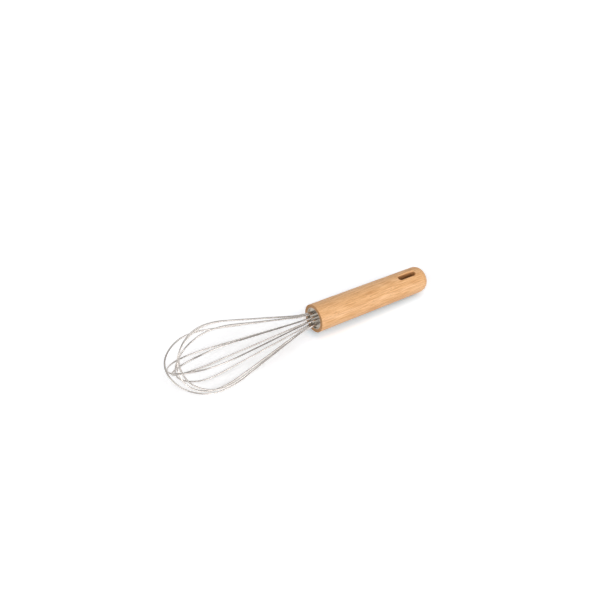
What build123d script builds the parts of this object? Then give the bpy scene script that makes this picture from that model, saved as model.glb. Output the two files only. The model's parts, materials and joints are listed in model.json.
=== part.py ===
from build123d import *
import math
import os

# Balloon whisk with a turned wooden handle, lying at rest on a flat surface.
# Six closed wire loops leave a pierced steel cup in the front of the handle, flare into a
# teardrop balloon and nest in front of each other where they cross at the tip. Behind the
# cup their legs are cast into a resin plug that fills the handle's bore.
# Every piece is built about the whisk's own axis: X runs from the butt (negative) to the tip
# (positive) with zero at the handle's front face, and Z runs through the hanging slot.
# The last step lays the whisk down: it tilts all pieces until the butt and the lowest wires
# touch Z = 0, and puts the origin under the middle of the whole whisk.

# Handle, turned from one length of wood
handle_length = 117.4
front_diameter = 24.0
butt_diameter = 22.9            # where the tapered side would meet the butt's crown
butt_crown_radius = 15.0
butt_corner_radius = 8.0
front_edge_radius = 1.7
mouth_edge_radius = 0.3

# Hanging slot through the butt
slot_length = 18.4
slot_width = 4.4
slot_from_butt = 22.3           # from the end of the butt to the middle of the slot
slot_edge_radius = 0.9

# Shallow drawn cup that closes the handle's mouth, open side outwards, pierced for the legs
cup_diameter = 18.4
cup_depth = 1.6                 # from its rim to the back of its pierced end
cup_wall = 0.5
cup_inner_corner_radius = 0.4
cup_rim_radius = 0.2
cup_rim_drop = 0.1              # from the handle's front face back to the rim
cup_seat_gap = 0.05             # glue line round and behind the cup

# Resin plug, cast round the legs in the bore behind the cup
plug_diameter = 15.0
plug_tail = 2.0                 # resin behind the ends of the legs
plug_seat_gap = 0.05
drill_point_angle = 118.0       # the bore's end, which the resin fills

# Wire and the shape of the balloon
wire_diameter = 1.3
wire_hole_gap = 0.1             # round each wire where it passes the cup's end
wire_ring_radius = 5.5          # circle on which the legs stand
leg_grip = 26.0                 # straight length of each leg behind the cup's pierced face
balloon_length = 133.6          # from the cup's pierced face to the outermost tip
balloon_half_width = 26.0
nest_step = 2.15                # from one tip to the next one inside it
exit_bend_share = 0.60          # of the balloon's length: radius that opens the legs
shoulder_bend_share = 0.525     # of the balloon's length: radius that brings them round
widest_share = 0.765            # of a loop's own reach: where it is widest
nose_turn = 45.0                # turn of the wider of the two arcs between there and the tip

# One row for each loop, innermost first: the turn of its plane about the axis, away from
# upright, and the widths of its upper and lower side as shares of the balloon's half width.
# The wires are bent by hand, so no two are quite alike.
loop_turns_and_shares = {
    "wire_loop_1": (52.0, 0.965, 0.955),
    "wire_loop_2": (34.0, 1.005, 1.012),
    "wire_loop_3": (11.0, 1.060, 0.800),
    "wire_loop_4": (-22.0, 1.012, 0.913),
    "wire_loop_5": (-49.0, 0.980, 1.130),
    "wire_loop_6": (82.0, 0.965, 1.092),
}

cut_overrun = 1.0               # how far every cutting tool runs past what it cuts

# Worked out from the sizes above; places are on the whisk's axis
front_radius = front_diameter / 2
butt_radius = butt_diameter / 2
mouth_radius = cup_diameter / 2 + cup_seat_gap
bore_radius = plug_diameter / 2 + plug_seat_gap
cup_back_x = -cup_rim_drop - cup_depth
cup_face_x = cup_back_x + cup_wall
shoulder_x = cup_back_x - cup_seat_gap
leg_end_x = cup_face_x - leg_grip
plug_end_x = leg_end_x - plug_tail
bore_end_x = plug_end_x - plug_seat_gap
drill_point_slope = math.tan(math.radians(drill_point_angle / 2))
wire_radius = wire_diameter / 2
wire_hole_radius = wire_radius + wire_hole_gap
exit_bend_radius = exit_bend_share * balloon_length
shoulder_bend_radius = shoulder_bend_share * balloon_length
slot_center_x = slot_from_butt - handle_length
crown_center_x = butt_crown_radius - handle_length


def wood_handle():
    """One turned solid: long taper, rounded butt, stepped blind bore and hanging slot."""
    side_end_x = crown_center_x - math.sqrt(butt_crown_radius**2 - butt_radius**2)
    bore_tip_x = bore_end_x - bore_radius / drill_point_slope
    with BuildPart() as handle:
        with BuildSketch():
            with BuildLine():
                Line((0, mouth_radius), (0, front_radius))
                Line((0, front_radius), (side_end_x, butt_radius))
                RadiusArc((side_end_x, butt_radius), (-handle_length, 0), -butt_crown_radius)
                Line((-handle_length, 0), (bore_tip_x, 0))
                Polyline(
                    (bore_tip_x, 0),
                    (bore_end_x, bore_radius),
                    (shoulder_x, bore_radius),
                    (shoulder_x, mouth_radius),
                    (0, mouth_radius),
                )
            section = make_face()
            corners = section.vertices()
            fillet(corners.sort_by_distance((side_end_x, butt_radius))[0], butt_corner_radius)
            fillet(corners.sort_by_distance((0, front_radius))[0], front_edge_radius)
            fillet(corners.sort_by_distance((0, mouth_radius))[0], mouth_edge_radius)
        revolve(axis=Axis.X)
        with BuildSketch(Plane.XY.offset(-front_radius - cut_overrun)):
            with Locations((slot_center_x, 0)):
                SlotOverall(slot_length, slot_width)
        extrude(amount=front_diameter + 2 * cut_overrun, mode=Mode.SUBTRACT)
        fillet([edge for edge in handle.edges(Select.LAST) if is_slot_rim(edge)], slot_edge_radius)
    return handle.part


def is_slot_rim(edge):
    """True for the edges round the slot's two mouths, and not for those that run through it."""
    runs_through = abs((edge % 0.5).Z) > math.cos(math.radians(45))
    return not runs_through


def leg_places():
    """Roll angle of each of the legs, two for each loop."""
    for turn, _, _ in loop_turns_and_shares.values():
        for side in (0.0, 180.0):
            yield turn + side


def leg_bores(radius, front_x, back_x):
    """Straight round bars where the legs stand, for holes round them."""
    bar = Pos((front_x + back_x) / 2, 0, wire_ring_radius) * Rot(Y=90) * Cylinder(radius, front_x - back_x)
    return [Rot(X=place) * bar for place in leg_places()]


def end_cup():
    """Shallow cup with a rounded rim, pierced once for each leg."""
    outer_radius = cup_diameter / 2
    inner_radius = outer_radius - cup_wall
    with BuildPart() as cup:
        with BuildSketch():
            with BuildLine():
                Polyline(
                    (cup_back_x, 0),
                    (cup_back_x, outer_radius),
                    (-cup_rim_drop, outer_radius),
                    (-cup_rim_drop, inner_radius),
                    (cup_face_x, inner_radius),
                    (cup_face_x, 0),
                    close=True,
                )
            section = make_face()
            corners = section.vertices()
            outer_corner = corners.sort_by_distance((cup_back_x, outer_radius))[0]
            inner_corner = corners.sort_by_distance((cup_face_x, inner_radius))[0]
            fillet(outer_corner, cup_inner_corner_radius + cup_wall)
            fillet(inner_corner, cup_inner_corner_radius)
            for rim_radius in (inner_radius, outer_radius):
                fillet(corners.sort_by_distance((-cup_rim_drop, rim_radius))[0], cup_rim_radius)
        revolve(axis=Axis.X)
    return cup.part - leg_bores(wire_hole_radius, cup_face_x + cut_overrun, cup_back_x - cut_overrun)


def resin_plug():
    """Round plug with the drill's cone at its blind end, cast round the legs."""
    plug_radius = plug_diameter / 2
    plug_tip_x = plug_end_x - plug_radius / drill_point_slope
    with BuildPart() as plug:
        with BuildSketch():
            with BuildLine():
                Polyline(
                    (shoulder_x, 0),
                    (shoulder_x, plug_radius),
                    (plug_end_x, plug_radius),
                    (plug_tip_x, 0),
                    close=True,
                )
            make_face()
        revolve(axis=Axis.X)
    return plug.part - leg_bores(wire_radius + plug_seat_gap, cut_overrun, leg_end_x - plug_seat_gap)


def side_bends(reach, half_width):
    """Angles and radii of one side of a loop, from its leg to the tip.

    The leg leaves the cup along the axis, opens on the exit bend, runs straight, comes round
    on the shoulder bend to its widest place, and closes on two more arcs that meet the axis
    squarely at the tip. All meet tangentially.
    """
    widest_x = widest_share * reach
    both_bends = exit_bend_radius + shoulder_bend_radius
    rise = both_bends - (half_width - wire_ring_radius)
    span = math.hypot(widest_x, rise)
    leg_angle = math.atan2(widest_x, rise) - math.acos(both_bends / span)
    run = math.sqrt(span**2 - both_bends**2)
    turn = math.radians(nose_turn)
    ahead = reach - widest_x
    scale = math.sin(turn) + math.cos(turn) - 1
    flank_radius = (ahead * math.cos(turn) - half_width * (1 - math.sin(turn))) / scale
    tip_radius = (half_width * math.sin(turn) - ahead * (1 - math.cos(turn))) / scale
    return math.degrees(leg_angle), run, flank_radius, tip_radius


def heading(degrees):
    """Unit direction at an angle from the axis, in the plane of the loop."""
    return (math.cos(math.radians(degrees)), math.sin(math.radians(degrees)))


def wire_loop(place, turn, upper_share, lower_share):
    """One wire: leg, upper side, tip, lower side and leg, swept as a single round bar.

    Its path is drawn with zero at the cup's pierced face.
    """
    reach = balloon_length - place * nest_step
    upper = side_bends(reach, upper_share * balloon_half_width)
    lower = side_bends(reach, lower_share * balloon_half_width)
    start = (-leg_grip, wire_ring_radius)
    with BuildLine() as path:
        # Each stretch: its length if straight, or its radius and signed turn
        leg_angle, run, flank_radius, tip_radius = upper
        tail = Line(start, (0, wire_ring_radius))
        tail = JernArc(tail @ 1, heading(0), exit_bend_radius, leg_angle)
        tail = Line(tail @ 1, tail @ 1 + run * Vector(*heading(leg_angle)))
        tail = JernArc(tail @ 1, heading(leg_angle), shoulder_bend_radius, -leg_angle)
        tail = JernArc(tail @ 1, heading(0), flank_radius, -nose_turn)
        tail = JernArc(tail @ 1, heading(-nose_turn), tip_radius, nose_turn - 90)
        leg_angle, run, flank_radius, tip_radius = lower
        tail = JernArc(tail @ 1, heading(-90), tip_radius, nose_turn - 90)
        tail = JernArc(tail @ 1, heading(nose_turn - 180), flank_radius, -nose_turn)
        tail = JernArc(tail @ 1, heading(180), shoulder_bend_radius, -leg_angle)
        tail = Line(tail @ 1, tail @ 1 + run * Vector(*heading(180 - leg_angle)))
        tail = JernArc(tail @ 1, heading(180 - leg_angle), exit_bend_radius, leg_angle)
        tail = Line(tail @ 1, tail @ 1 + leg_grip * Vector(*heading(180)))
    section = Plane(origin=path.wire() @ 0, z_dir=(1, 0, 0)) * Circle(wire_radius)
    bar = sweep(section, path.wire())
    expected = math.pi * wire_radius**2 * path.wire().length
    print(f"reach {reach:.1f} mm, wire {path.wire().length:.1f} mm, volume {bar.volume / expected:.4f}")
    return Pos(X=cup_face_x) * Rot(X=90 + turn) * bar


def resting_tilt():
    """Angle of the axis when the butt's corner and the lowest wire touch a flat surface."""
    drops = []
    for place, (turn, upper_share, lower_share) in enumerate(reversed(loop_turns_and_shares.values())):
        for side_turn, share in ((turn, upper_share), (turn + 180, lower_share)):
            lean = -math.cos(math.radians(side_turn))
            drops.append((lean * share * balloon_half_width, lean, place))
    drop, lean, place = max(drops)
    widest_x = cup_face_x + widest_share * (balloon_length - place * nest_step)
    bend = shoulder_bend_radius / lean
    corner_to_crown = butt_crown_radius - butt_corner_radius
    corner_drop = butt_radius - butt_corner_radius
    corner_x = crown_center_x - math.sqrt(corner_to_crown**2 - corner_drop**2)
    along = widest_x - corner_x
    down = (drop - bend) - corner_drop
    bulge = (bend + wire_radius) - butt_corner_radius
    return math.degrees(math.asin(bulge / math.hypot(along, down)) + math.atan2(down, along))


nodes = {"wood_handle": wood_handle(), "end_cup": end_cup(), "resin_plug": resin_plug()}
loop_count = len(loop_turns_and_shares)
for index, (name, row) in enumerate(loop_turns_and_shares.items()):
    nodes[name] = wire_loop(loop_count - 1 - index, *row)

tilt = resting_tilt()
laid = {name: Rot(Y=-tilt) * part for name, part in nodes.items()}
box = Compound(list(laid.values())).bounding_box()
shift = Pos(-(box.min.X + box.max.X) / 2, -(box.min.Y + box.max.Y) / 2, -box.min.Z)
print(f"tilt {tilt:.3f} degrees, box {box.size.X:.2f} x {box.size.Y:.2f} x {box.size.Z:.2f} mm")
print(f"the axis leaves the handle's front face at {shift.position}")

os.makedirs("parts", exist_ok=True)
for name, part in laid.items():
    export_step(shift * part, f"parts/{name}.step")
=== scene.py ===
import bpy
import json
import math
from mathutils import Matrix, Vector


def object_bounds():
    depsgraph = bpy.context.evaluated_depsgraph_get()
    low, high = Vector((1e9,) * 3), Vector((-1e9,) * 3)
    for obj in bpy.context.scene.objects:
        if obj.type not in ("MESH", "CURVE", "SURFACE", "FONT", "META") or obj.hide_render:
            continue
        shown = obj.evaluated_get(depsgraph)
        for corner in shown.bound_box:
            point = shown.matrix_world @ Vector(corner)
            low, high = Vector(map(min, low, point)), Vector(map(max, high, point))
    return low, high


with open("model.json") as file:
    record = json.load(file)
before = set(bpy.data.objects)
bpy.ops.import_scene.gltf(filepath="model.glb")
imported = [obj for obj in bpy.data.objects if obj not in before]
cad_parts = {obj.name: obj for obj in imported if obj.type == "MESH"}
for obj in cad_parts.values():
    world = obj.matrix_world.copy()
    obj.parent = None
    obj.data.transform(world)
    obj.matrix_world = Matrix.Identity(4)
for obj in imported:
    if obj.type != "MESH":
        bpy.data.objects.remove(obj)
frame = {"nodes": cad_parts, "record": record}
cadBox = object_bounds()
nodes = frame["nodes"]
millimetre = 0.001
roundedBox = [round(number, 4) for corner in cadBox for number in corner]
print("frame loaded:", len(nodes), "CAD nodes, box", roundedBox)

# The whisk's own axes, read from its hanging slot: the slot's axis is square to the whisk's long axis
hangingSlot = next(m for m in frame["record"]["mounts"] if m["name"] == "hanging_slot")
slotCentre = Vector(hangingSlot["pos_m"])
slotAxis = Vector(hangingSlot["axis"]).normalized()
longAxis = Vector((0.0, 1.0, 0.0)).cross(slotAxis).normalized()
whiskTilt = math.atan2(longAxis.z, longAxis.x)  # how far the tip is raised
slotFromFront = 95.1        # mm from the handle's front face to the slot's middle
frontCentre = slotCentre + longAxis * slotFromFront * millimetre

noiseSpan = (0.3, 0.7)      # most of a noise's values lie between these


# One shader node: its settings by name, its sockets by name or number, a value or a link in each
def addNode(tree, kind, sockets=None, **settings):
    made = tree.nodes.new(kind)
    for name, value in settings.items():
        setattr(made, name, value)
    for name, value in (sockets or {}).items():
        if isinstance(value, bpy.types.NodeSocket):
            tree.links.new(value, made.inputs[name])
        else:
            made.inputs[name].default_value = value
    return made


def newMaterial(name):
    material = bpy.data.materials.new(name)
    material.use_nodes = True
    tree = material.node_tree
    tree.nodes.clear()
    return material, tree


# Colour ramp with its stops given as (place, colour or grey)
def addRamp(tree, factor, stops):
    ramp = addNode(tree, "ShaderNodeValToRGB", {"Fac": factor})
    steps = ramp.color_ramp.elements
    while len(steps) < len(stops):
        steps.new(0.5)
    for step, (place, colour) in zip(steps, stops):
        step.position = place
        step.color = (colour, colour, colour, 1.0) if isinstance(colour, float) else (*colour, 1.0)
    return ramp.outputs["Color"]


# Mix of two colours, sockets 6 and 7, by a factor; MULTIPLY mixes the first with the product of both
def mixColour(tree, factor, first, second, mode="MIX"):
    made = addNode(tree, "ShaderNodeMix", {0: factor}, data_type="RGBA", blend_type=mode)
    for socket, colour in ((6, first), (7, second)):
        if isinstance(colour, bpy.types.NodeSocket):
            tree.links.new(colour, made.inputs[socket])
        else:
            made.inputs[socket].default_value = (*colour, 1.0)
    return made.outputs[2]


def addMaths(tree, operation, *values):
    return addNode(tree, "ShaderNodeMath", dict(enumerate(values)), operation=operation).outputs[0]


# Sum of the values, each times its weight
def weightedSum(tree, values, weights):
    total = 0.0
    for value, weight in zip(values, weights):
        total = addMaths(tree, "MULTIPLY_ADD", value, weight, total)
    return total


# Straight map of a value from one span of numbers onto another, held at both ends
def mapSpan(tree, value, span, onto=(0.0, 1.0)):
    sockets = {"Value": value, "From Min": span[0], "From Max": span[1],
               "To Min": onto[0], "To Max": onto[1]}
    return addNode(tree, "ShaderNodeMapRange", sockets).outputs["Result"]


def inMetres(lengths):
    return [length * millimetre for length in lengths]


def objectCoordinates(tree):
    return addNode(tree, "ShaderNodeTexCoord").outputs["Object"]


# Object coordinates turned into the whisk's own axes: X runs from the handle's front face to the tip
def whiskCoordinates(tree):
    sockets = {"Vector": objectCoordinates(tree), "Location": frontCentre,
               "Rotation": (0.0, -whiskTilt, 0.0)}
    return addNode(tree, "ShaderNodeMapping", sockets, vector_type="TEXTURE").outputs["Vector"]


def alongX(tree, place):
    return addNode(tree, "ShaderNodeSeparateXYZ", {"Vector": place}).outputs["X"]


# Distance from the X axis: the root of Y squared plus Z squared
def fromX(tree, place):
    parts = addNode(tree, "ShaderNodeSeparateXYZ", {"Vector": place}).outputs
    squares = [addMaths(tree, "MULTIPLY", parts[side], parts[side]) for side in ("Y", "Z")]
    return addMaths(tree, "SQRT", addMaths(tree, "ADD", *squares))


# Coordinates over the sizes in mm, so that one unit of a pattern takes those lengths, plus a shift
def stretched(tree, place, sizes, shift=(0.0, 0.0, 0.0)):
    scale = [1.0 / size for size in inMetres(sizes)]
    sockets = {"Vector": place, "Scale": scale, "Location": shift}
    return addNode(tree, "ShaderNodeMapping", sockets, vector_type="POINT").outputs["Vector"]


# Noise from 0 to 1 in lumps of those sizes; a shift makes a second pattern of the same kind differ
def addNoise(tree, place, sizes, shift=(0.0, 0.0, 0.0), detail=2.0, roughness=0.55):
    sockets = {"Vector": stretched(tree, place, sizes, shift), "Scale": 1.0, "Detail": detail,
               "Roughness": roughness}
    return addNode(tree, "ShaderNodeTexNoise", sockets).outputs["Fac"]


# Distance to the middle of the nearest cell, in cells of those sizes
def addCells(tree, place, sizes):
    sockets = {"Vector": stretched(tree, place, sizes), "Scale": 1.0}
    return addNode(tree, "ShaderNodeTexVoronoi", sockets).outputs["Distance"]


def addBump(tree, height, plan):
    sockets = {"Height": height, "Strength": plan["bumpStrength"],
               "Distance": plan["bumpHeight"] * millimetre}
    return addNode(tree, "ShaderNodeBump", sockets).outputs["Normal"]


def addSurface(tree, kind, sockets):
    shader = addNode(tree, kind, sockets)
    addNode(tree, "ShaderNodeOutputMaterial", {"Surface": shader.outputs["BSDF"]})


beech = {
    # pattern sizes are mm along the handle and across it
    "sway": {"sizes": (60.0, 9.0, 9.0)},
    "fibre": {"sizes": (34.0, 0.55, 0.55), "detail": 4.0, "roughness": 0.6},
    "fineFibre": {"sizes": (12.0, 0.42, 0.42), "roughness": 0.5},
    "cloud": {"sizes": (45.0, 10.0, 10.0), "shift": (3.1, 1.7, 0.4)},
    "fleckGroups": {"sizes": (16.0, 3.0, 3.0), "shift": (7.0, 2.0, 5.0)},
    "pores": {"sizes": (6.0, 0.22, 0.22), "shift": (1.0, 4.0, 2.0)},
    "wear": {"sizes": (22.0, 7.0, 7.0), "shift": (2.0, 9.0, 4.0), "detail": 3.0},
    "fleckSizes": (5.2, 0.75, 0.75),
    # the tree: its middle lies beside the handle
    "pithDistance": 38.0,               # mm from the handle's axis
    "pithTurn": 205.0,                  # degrees round the axis
    "ringStep": 2.6,                    # mm of one year's growth
    "ringSway": 2.2,                    # the most that the rings wander, in ring steps
    # what each pattern's value gives
    "ringTone": ((0.0, 0.30), (0.10, 0.0), (0.55, 0.25), (0.86, 0.75), (1.0, 0.30)),
    "fibreTone": ((0.36, 0.0), (0.64, 1.0)),
    "cloudTone": ((0.35, 0.0), (0.65, 1.0)),
    "toneWeights": (0.36, 0.36, 0.28),  # rings, fibres, clouds
    "tones": (                          # pale, honey, dark
        (0.10, (0.950, 0.570, 0.292)),
        (0.52, (0.890, 0.510, 0.234)),
        (0.95, (0.770, 0.402, 0.168)),
    ),
    "streakShare": ((0.42, 0.0), (0.62, 1.0)),
    "streak": (0.750, 0.640, 0.490),    # what a dark streak leaves of the colour
    "fleckShape": ((0.10, 1.0), (0.26, 0.0)),
    "fleckShare": ((0.44, 0.0), (0.60, 0.8)),
    "fleck": (0.450, 0.210, 0.075),
    "endShare": ((0.55, 0.0), (0.98, 0.75)),
    "endGrain": (0.465, 0.218, 0.068),
    "poreShare": ((0.40, 0.0), (0.66, 0.55)),
    # the slot's walls, darkened with painted shade
    "slotDepth": (10.8, 6.0),           # mm from the handle's axis where the painted shade starts and is full
    "slotSpan": (-47.55, -105.5),       # mm along the handle, clear of the slot's two ends
    "slotPaintedShade": (0.62, 0.57, 0.52),     # what the painted shade leaves of the colour there
    # the surface
    "roughness": (0.32, 0.46),
    "bumpWeights": (0.6, 0.5, -0.5),    # fine fibres, fibres, flecks
    "bumpStrength": 0.5,
    "bumpHeight": 0.06,                 # mm
}


# Beech: growth rings are distance from a far pith over the ring step, swayed by long noise, so that
# they run as streaks along the handle and as arcs on its end grain; fibres and flecks lie along X
def beechMaterial():
    material, tree = newMaterial("oiledBeech")
    place = whiskCoordinates(tree)
    turn = math.radians(beech["pithTurn"])
    pith = Vector((0.0, math.cos(turn), math.sin(turn))) * beech["pithDistance"] * millimetre
    fromPith = addNode(tree, "ShaderNodeVectorMath", {0: place, 1: pith}, operation="SUBTRACT")
    sway = addMaths(tree, "MULTIPLY", addNoise(tree, place, **beech["sway"]), beech["ringSway"])
    perMetre = 1.0 / (beech["ringStep"] * millimetre)
    years = addMaths(tree, "MULTIPLY_ADD", fromX(tree, fromPith.outputs["Vector"]), perMetre, sway)
    rings = addMaths(tree, "FRACT", years)
    fibre = addNoise(tree, place, **beech["fibre"])
    fineFibre = addNoise(tree, place, **beech["fineFibre"])
    cloud = addNoise(tree, place, **beech["cloud"])
    ringTone = addRamp(tree, rings, beech["ringTone"])
    fibreTone = addRamp(tree, fibre, beech["fibreTone"])
    cloudTone = addRamp(tree, cloud, beech["cloudTone"])
    tone = weightedSum(tree, (ringTone, fibreTone, cloudTone), beech["toneWeights"])
    colour = addRamp(tree, tone, beech["tones"])
    streaks = addRamp(tree, fineFibre, beech["streakShare"])
    colour = mixColour(tree, streaks, colour, beech["streak"], "MULTIPLY")
    # ray flecks: thin dark dashes a few millimetres long, at the middles of long cells, in groups
    fleckShape = addRamp(tree, addCells(tree, place, beech["fleckSizes"]), beech["fleckShape"])
    fleckShare = addRamp(tree, addNoise(tree, place, **beech["fleckGroups"]), beech["fleckShare"])
    fleck = addMaths(tree, "MULTIPLY", fleckShape, fleckShare)
    colour = mixColour(tree, fleck, colour, beech["fleck"])
    # end grain drinks more oil: where the surface faces along the axis the wood is darker and redder
    normal = addNode(tree, "ShaderNodeNewGeometry").outputs["Normal"]
    facing = addNode(tree, "ShaderNodeVectorMath", {0: normal, 1: longAxis}, operation="DOT_PRODUCT")
    endShare = addRamp(tree, addMaths(tree, "ABSOLUTE", facing.outputs["Value"]), beech["endShare"])
    poreShare = addRamp(tree, addNoise(tree, place, **beech["pores"]), beech["poreShare"])
    endColour = mixColour(tree, poreShare, beech["endGrain"], beech["fleck"])
    colour = mixColour(tree, endShare, colour, endColour)
    # the slot's walls lie nearer to the axis than the handle's skin; painted shade darkens them the
    # deeper they lie
    shadeByDepth = mapSpan(tree, fromX(tree, place), inMetres(beech["slotDepth"]))
    first, last = inMetres(beech["slotSpan"])
    pastFront = addMaths(tree, "LESS_THAN", alongX(tree, place), first)
    beforeButt = addMaths(tree, "GREATER_THAN", alongX(tree, place), last)
    slotShadeShare = addMaths(tree, "MULTIPLY", shadeByDepth, addMaths(tree, "MULTIPLY", pastFront, beforeButt))
    colour = mixColour(tree, slotShadeShare, colour, beech["slotPaintedShade"], "MULTIPLY")
    height = weightedSum(tree, (fineFibre, fibre, fleck), beech["bumpWeights"])
    wear = addNoise(tree, place, **beech["wear"])
    addSurface(tree, "ShaderNodeBsdfPrincipled", {
        "Base Color": colour,
        "Roughness": mapSpan(tree, wear, noiseSpan, beech["roughness"]),
        "Normal": addBump(tree, height, beech),
    })
    return material


wireSteel = {
    "base": (0.700, 0.660, 0.628),
    "tarnish": (0.570, 0.525, 0.492),
    "tarnishShare": ((0.38, 0.0), (0.66, 1.0)),
    "roughness": (0.12, 0.21),
    "cloud": {"sizes": (14.0, 14.0, 14.0), "detail": 3.0},
    "smudge": {"sizes": (4.0, 4.0, 4.0), "shift": (3.0, 1.0, 2.0), "detail": 4.0},
    "drawLines": {"sizes": (2.5, 0.35, 0.35)},          # mm, left by the drawing die
    "bumpStrength": 0.35,
    "bumpHeight": 0.0006,               # mm
}


# Bright drawn stainless wire: a cloudy tarnish over the base, smudges in the gloss, fine drawing lines
def wireMaterial():
    material, tree = newMaterial("drawnWireSteel")
    place = objectCoordinates(tree)
    tarnish = addRamp(tree, addNoise(tree, place, **wireSteel["cloud"]), wireSteel["tarnishShare"])
    smudge = addNoise(tree, place, **wireSteel["smudge"])
    drawLines = addNoise(tree, place, **wireSteel["drawLines"])
    addSurface(tree, "ShaderNodeBsdfPrincipled", {
        "Base Color": mixColour(tree, tarnish, wireSteel["base"], wireSteel["tarnish"]),
        "Metallic": 1.0,
        "Roughness": mapSpan(tree, smudge, noiseSpan, wireSteel["roughness"]),
        "Normal": addBump(tree, drawLines, wireSteel),
    })
    return material


cupSteel = {
    "base": (0.64, 0.595, 0.52),
    "dull": (0.53, 0.485, 0.42),
    "dullShare": ((0.40, 0.0), (0.68, 0.9)),
    "roughness": (0.18, 0.28),
    "film": {"sizes": (3.0, 3.0, 3.0), "detail": 4.0},
    "dieRing": 0.35,                    # mm from one ring to the next
    "bumpStrength": 0.25,
    "bumpHeight": 0.001,                # mm
}


# Satin drawn sheet: the die's rings are the sine of distance from the axis over their step, and a dull
# film lies over it in patches
def cupMaterial():
    material, tree = newMaterial("satinCupSteel")
    place = whiskCoordinates(tree)
    turnsPerMetre = 2 * math.pi / (cupSteel["dieRing"] * millimetre)
    dieRings = addMaths(tree, "SINE", addMaths(tree, "MULTIPLY", fromX(tree, place), turnsPerMetre))
    film = addNoise(tree, place, **cupSteel["film"])
    dull = addRamp(tree, film, cupSteel["dullShare"])
    addSurface(tree, "ShaderNodeBsdfPrincipled", {
        "Base Color": mixColour(tree, dull, cupSteel["base"], cupSteel["dull"]),
        "Metallic": 1.0,
        "Roughness": mapSpan(tree, film, noiseSpan, cupSteel["roughness"]),
        "Normal": addBump(tree, dieRings, cupSteel),
    })
    return material


plugResin = {
    "base": (0.32, 0.31, 0.29),
    "speck": (0.20, 0.19, 0.18),
    "speckShare": ((0.48, 0.0), (0.62, 1.0)),
    "roughness": (0.45, 0.65),
    "grain": {"sizes": (0.8, 0.8, 0.8), "detail": 4.0},
    "bubbles": (1.6, 1.6, 1.6),         # mm
    "bubbleShape": ((0.08, 0.0), (0.2, 1.0)),
    "bumpStrength": 0.4,
    "bumpHeight": 0.05,                 # mm
}


# Cast resin: a grey body with filler specks and small cast-in bubbles
def resinMaterial():
    material, tree = newMaterial("castPlugResin")
    place = objectCoordinates(tree)
    grain = addNoise(tree, place, **plugResin["grain"])
    specks = addRamp(tree, grain, plugResin["speckShare"])
    bubbles = addRamp(tree, addCells(tree, place, plugResin["bubbles"]), plugResin["bubbleShape"])
    addSurface(tree, "ShaderNodeBsdfPrincipled", {
        "Base Color": mixColour(tree, specks, plugResin["base"], plugResin["speck"]),
        "Roughness": mapSpan(tree, grain, (0.0, 1.0), plugResin["roughness"]),
        "Normal": addBump(tree, bubbles, plugResin),
    })
    return material


finishes = {"wood_handle": beechMaterial(), "end_cup": cupMaterial(), "resin_plug": resinMaterial()}
wireFinish = wireMaterial()
for name, node in nodes.items():
    for materialSlot in node.material_slots:
        materialSlot.material = finishes.get(name, wireFinish)
print("finishes set on", len(nodes), "CAD nodes")


studio = {
    "floorSize": 12.0,                      # m across
    "floorSeen": (1.24, 1.24, 1.25),        # colour for the camera
    "floorFarOff": (3.0, 3.0, 3.0),         # the same a few metres off, where less light falls
    "farOff": (0.25, 3.0),                  # m from the object where that starts and is complete
    "floorByWood": (1.37, 1.42, 1.48),      # the same beside the handle: painted light, brighter to lift the handle's shade and cool against the wood's glow
    "woodFront": (22.0, 0.0),               # mm along the whisk where that starts and is complete
    "woodButt": (-124.0, -104.0),           # and the same at the handle's other end
    "floorMirrored": (1.05, 1.05, 1.05),    # for mirrors, so that steel shows a white floor too
    "floorLighting": (0.52, 0.52, 0.52),    # for the light that it throws back
    "contactReach": 8.0,                    # mm round the handle within which the floor is shaded more
    "contactShade": (                       # share of open sky, and what it leaves of the colour
        (0.12, (0.36, 0.33, 0.30)),
        (0.38, (0.70, 0.83, 0.91)),
        (0.75, (0.84, 0.94, 1.00)),
        (1.00, (1.00, 1.00, 1.00)),
    ),
    "wallGrey": 0.12,
    "glows": {                              # lit parts of the room, and the grey that they add
        "ceiling": {"azimuth": 0.0, "elevation": 90.0, "glow": 1.12, "tightness": 4.0},
        "backdrop": {"azimuth": 325.0, "elevation": 12.0, "glow": 0.50, "tightness": 3.0},
    },
    "lampDistance": 4.0,                    # m
    "lamps": {                              # degrees, m and W
        "rightBox": {"azimuth": 200.0, "elevation": 43.0, "size": (3.2, 2.6), "power": 45.0},
        "leftBox": {"azimuth": 104.0, "elevation": 23.0, "size": (4.0, 2.4), "power": 64.0},
        "lowCard": {"azimuth": 196.0, "elevation": 9.0, "size": (4.8, 1.0), "power": 62.0},
    },
}


# Direction from the object towards a place: azimuth 0 is on the -Y side and 90 on the +X side
def towards(azimuth, elevation):
    a = math.radians(azimuth)
    e = math.radians(elevation)
    return Vector((math.sin(a) * math.cos(e), -math.cos(a) * math.cos(e), math.sin(e)))
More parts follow.
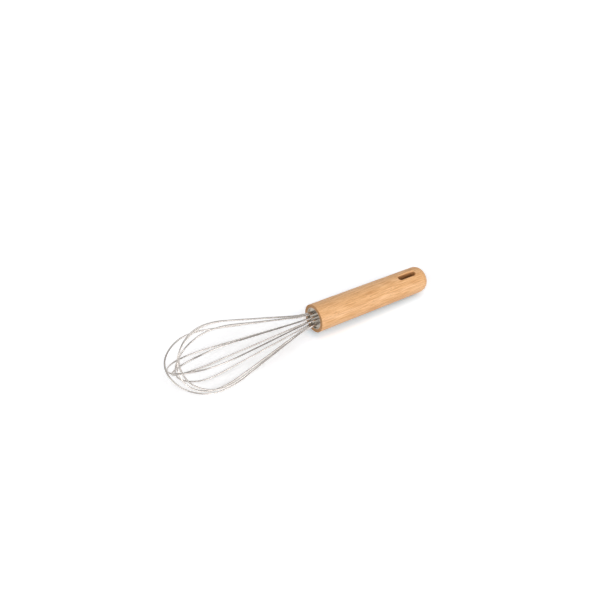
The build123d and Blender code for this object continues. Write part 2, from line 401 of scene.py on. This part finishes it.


# A flat square floor. The camera sees it white; beside the handle it is painted brighter and cooler to
# offset the handle's shade and the wood's glow, with a painted contact shade, and it is brighter far
# off; mirrors see it white, and the light that it throws back has a grey of its own
def makeFloor():
    half = studio["floorSize"] / 2
    mesh = bpy.data.meshes.new("studioFloor")
    corners = [(-half, -half, 0.0), (half, -half, 0.0), (half, half, 0.0), (-half, half, 0.0)]
    mesh.from_pydata(corners, [], [(0, 1, 2, 3)])
    floor = bpy.data.objects.new("studioFloor", mesh)
    bpy.context.scene.collection.objects.link(floor)
    material, tree = newMaterial("paleFloor")
    reach = studio["contactReach"] * millimetre
    openSky = addNode(tree, "ShaderNodeAmbientOcclusion", {"Distance": reach}).outputs["AO"]
    contactShade = addRamp(tree, openSky, studio["contactShade"])
    # beside the handle: painted light that lifts the handle's shade, times the painted contact shade
    byWood = mixColour(tree, 1.0, studio["floorByWood"], contactShade, "MULTIPLY")
    along = alongX(tree, whiskCoordinates(tree))
    frontShare = mapSpan(tree, along, inMetres(studio["woodFront"]))
    buttShare = mapSpan(tree, along, inMetres(studio["woodButt"]))
    woodShare = addMaths(tree, "MULTIPLY", frontShare, buttShare)
    seen = mixColour(tree, woodShare, studio["floorSeen"], byWood)
    place = objectCoordinates(tree)
    distance = addNode(tree, "ShaderNodeVectorMath", {0: place}, operation="LENGTH").outputs["Value"]
    seen = mixColour(tree, mapSpan(tree, distance, studio["farOff"]), seen, studio["floorFarOff"])
    rays = addNode(tree, "ShaderNodeLightPath").outputs
    mirrored = addMaths(tree, "MAXIMUM", rays["Is Glossy Ray"], rays["Is Transmission Ray"])
    colour = mixColour(tree, mirrored, studio["floorLighting"], studio["floorMirrored"])
    colour = mixColour(tree, rays["Is Camera Ray"], colour, seen)
    addSurface(tree, "ShaderNodeBsdfDiffuse", {"Color": colour})
    mesh.materials.append(material)


def makeLamp(name, plan):
    data = bpy.data.lights.new(name, "AREA")
    data.shape = "RECTANGLE"
    data.size, data.size_y = plan["size"]
    data.energy = plan["power"]
    lamp = bpy.data.objects.new(name, data)
    bpy.context.scene.collection.objects.link(lamp)
    way = towards(plan["azimuth"], plan["elevation"])
    lamp.location = way * studio["lampDistance"]
    lamp.rotation_mode = "QUATERNION"
    lamp.rotation_quaternion = way.to_track_quat("Z", "Y")


# Dark walls all round with lit parts: grey plus each glow times a power of the cosine of the angle to
# its middle, the power being its tightness; the camera itself sees plain white
def makeWorld():
    world = bpy.data.worlds.new("studioWorld")
    world.use_nodes = True
    tree = world.node_tree
    tree.nodes.clear()
    way = addNode(tree, "ShaderNodeTexCoord").outputs["Generated"]
    grey = studio["wallGrey"]
    for plan in studio["glows"].values():
        middle = towards(plan["azimuth"], plan["elevation"])
        facing = addNode(tree, "ShaderNodeVectorMath", {0: way, 1: middle}, operation="DOT_PRODUCT")
        ahead = addMaths(tree, "MAXIMUM", facing.outputs["Value"], 0.0)
        spread = addMaths(tree, "POWER", ahead, plan["tightness"])
        grey = addMaths(tree, "MULTIPLY_ADD", spread, plan["glow"], grey)
    seen = addNode(tree, "ShaderNodeLightPath").outputs["Is Camera Ray"]
    strength = addMaths(tree, "MAXIMUM", grey, seen)
    sky = addNode(tree, "ShaderNodeBackground", {"Color": (1.0, 1.0, 1.0, 1.0), "Strength": strength})
    addNode(tree, "ShaderNodeOutputWorld", {"Surface": sky.outputs["Background"]})
    bpy.context.scene.world = world


makeFloor()
for name, plan in studio["lamps"].items():
    makeLamp(name, plan)
makeWorld()
bpy.context.scene.view_settings.view_transform = "Standard"
print("studio set up:", len(studio["lamps"]), "lamps")


viewpoint = {
    "aim": (-3.86, -18.07, 25.29),      # mm, the point at the picture's middle
    "distance": 700.0,                  # mm
    "azimuth": 137.88,                  # degrees
    "elevation": 48.18,
    "roll": 11.90,                      # the camera's own turn
    "lens": 51.79,                      # mm
    "sensor": 36.0,                     # mm
    "clip": (0.01, 100.0),              # m
}


# Camera axes: back points from the aim to the camera, right is level and then rolled about back
def makeCamera():
    data = bpy.data.cameras.new("photoCamera")
    data.lens = viewpoint["lens"]
    data.sensor_width = viewpoint["sensor"]
    data.clip_start, data.clip_end = viewpoint["clip"]
    camera = bpy.data.objects.new("photoCamera", data)
    bpy.context.scene.collection.objects.link(camera)
    back = towards(viewpoint["azimuth"], viewpoint["elevation"])
    level = Vector((0.0, 0.0, 1.0)).cross(back).normalized()
    roll = math.radians(viewpoint["roll"])
    right = level * math.cos(roll) + back.cross(level) * math.sin(roll)
    up = back.cross(right)
    place = (Vector(viewpoint["aim"]) + back * viewpoint["distance"]) * millimetre
    turn = Matrix((right, up, back)).transposed().to_4x4()
    camera.matrix_world = Matrix.Translation(place) @ turn
    bpy.context.scene.camera = camera


makeCamera()
print("camera placed")
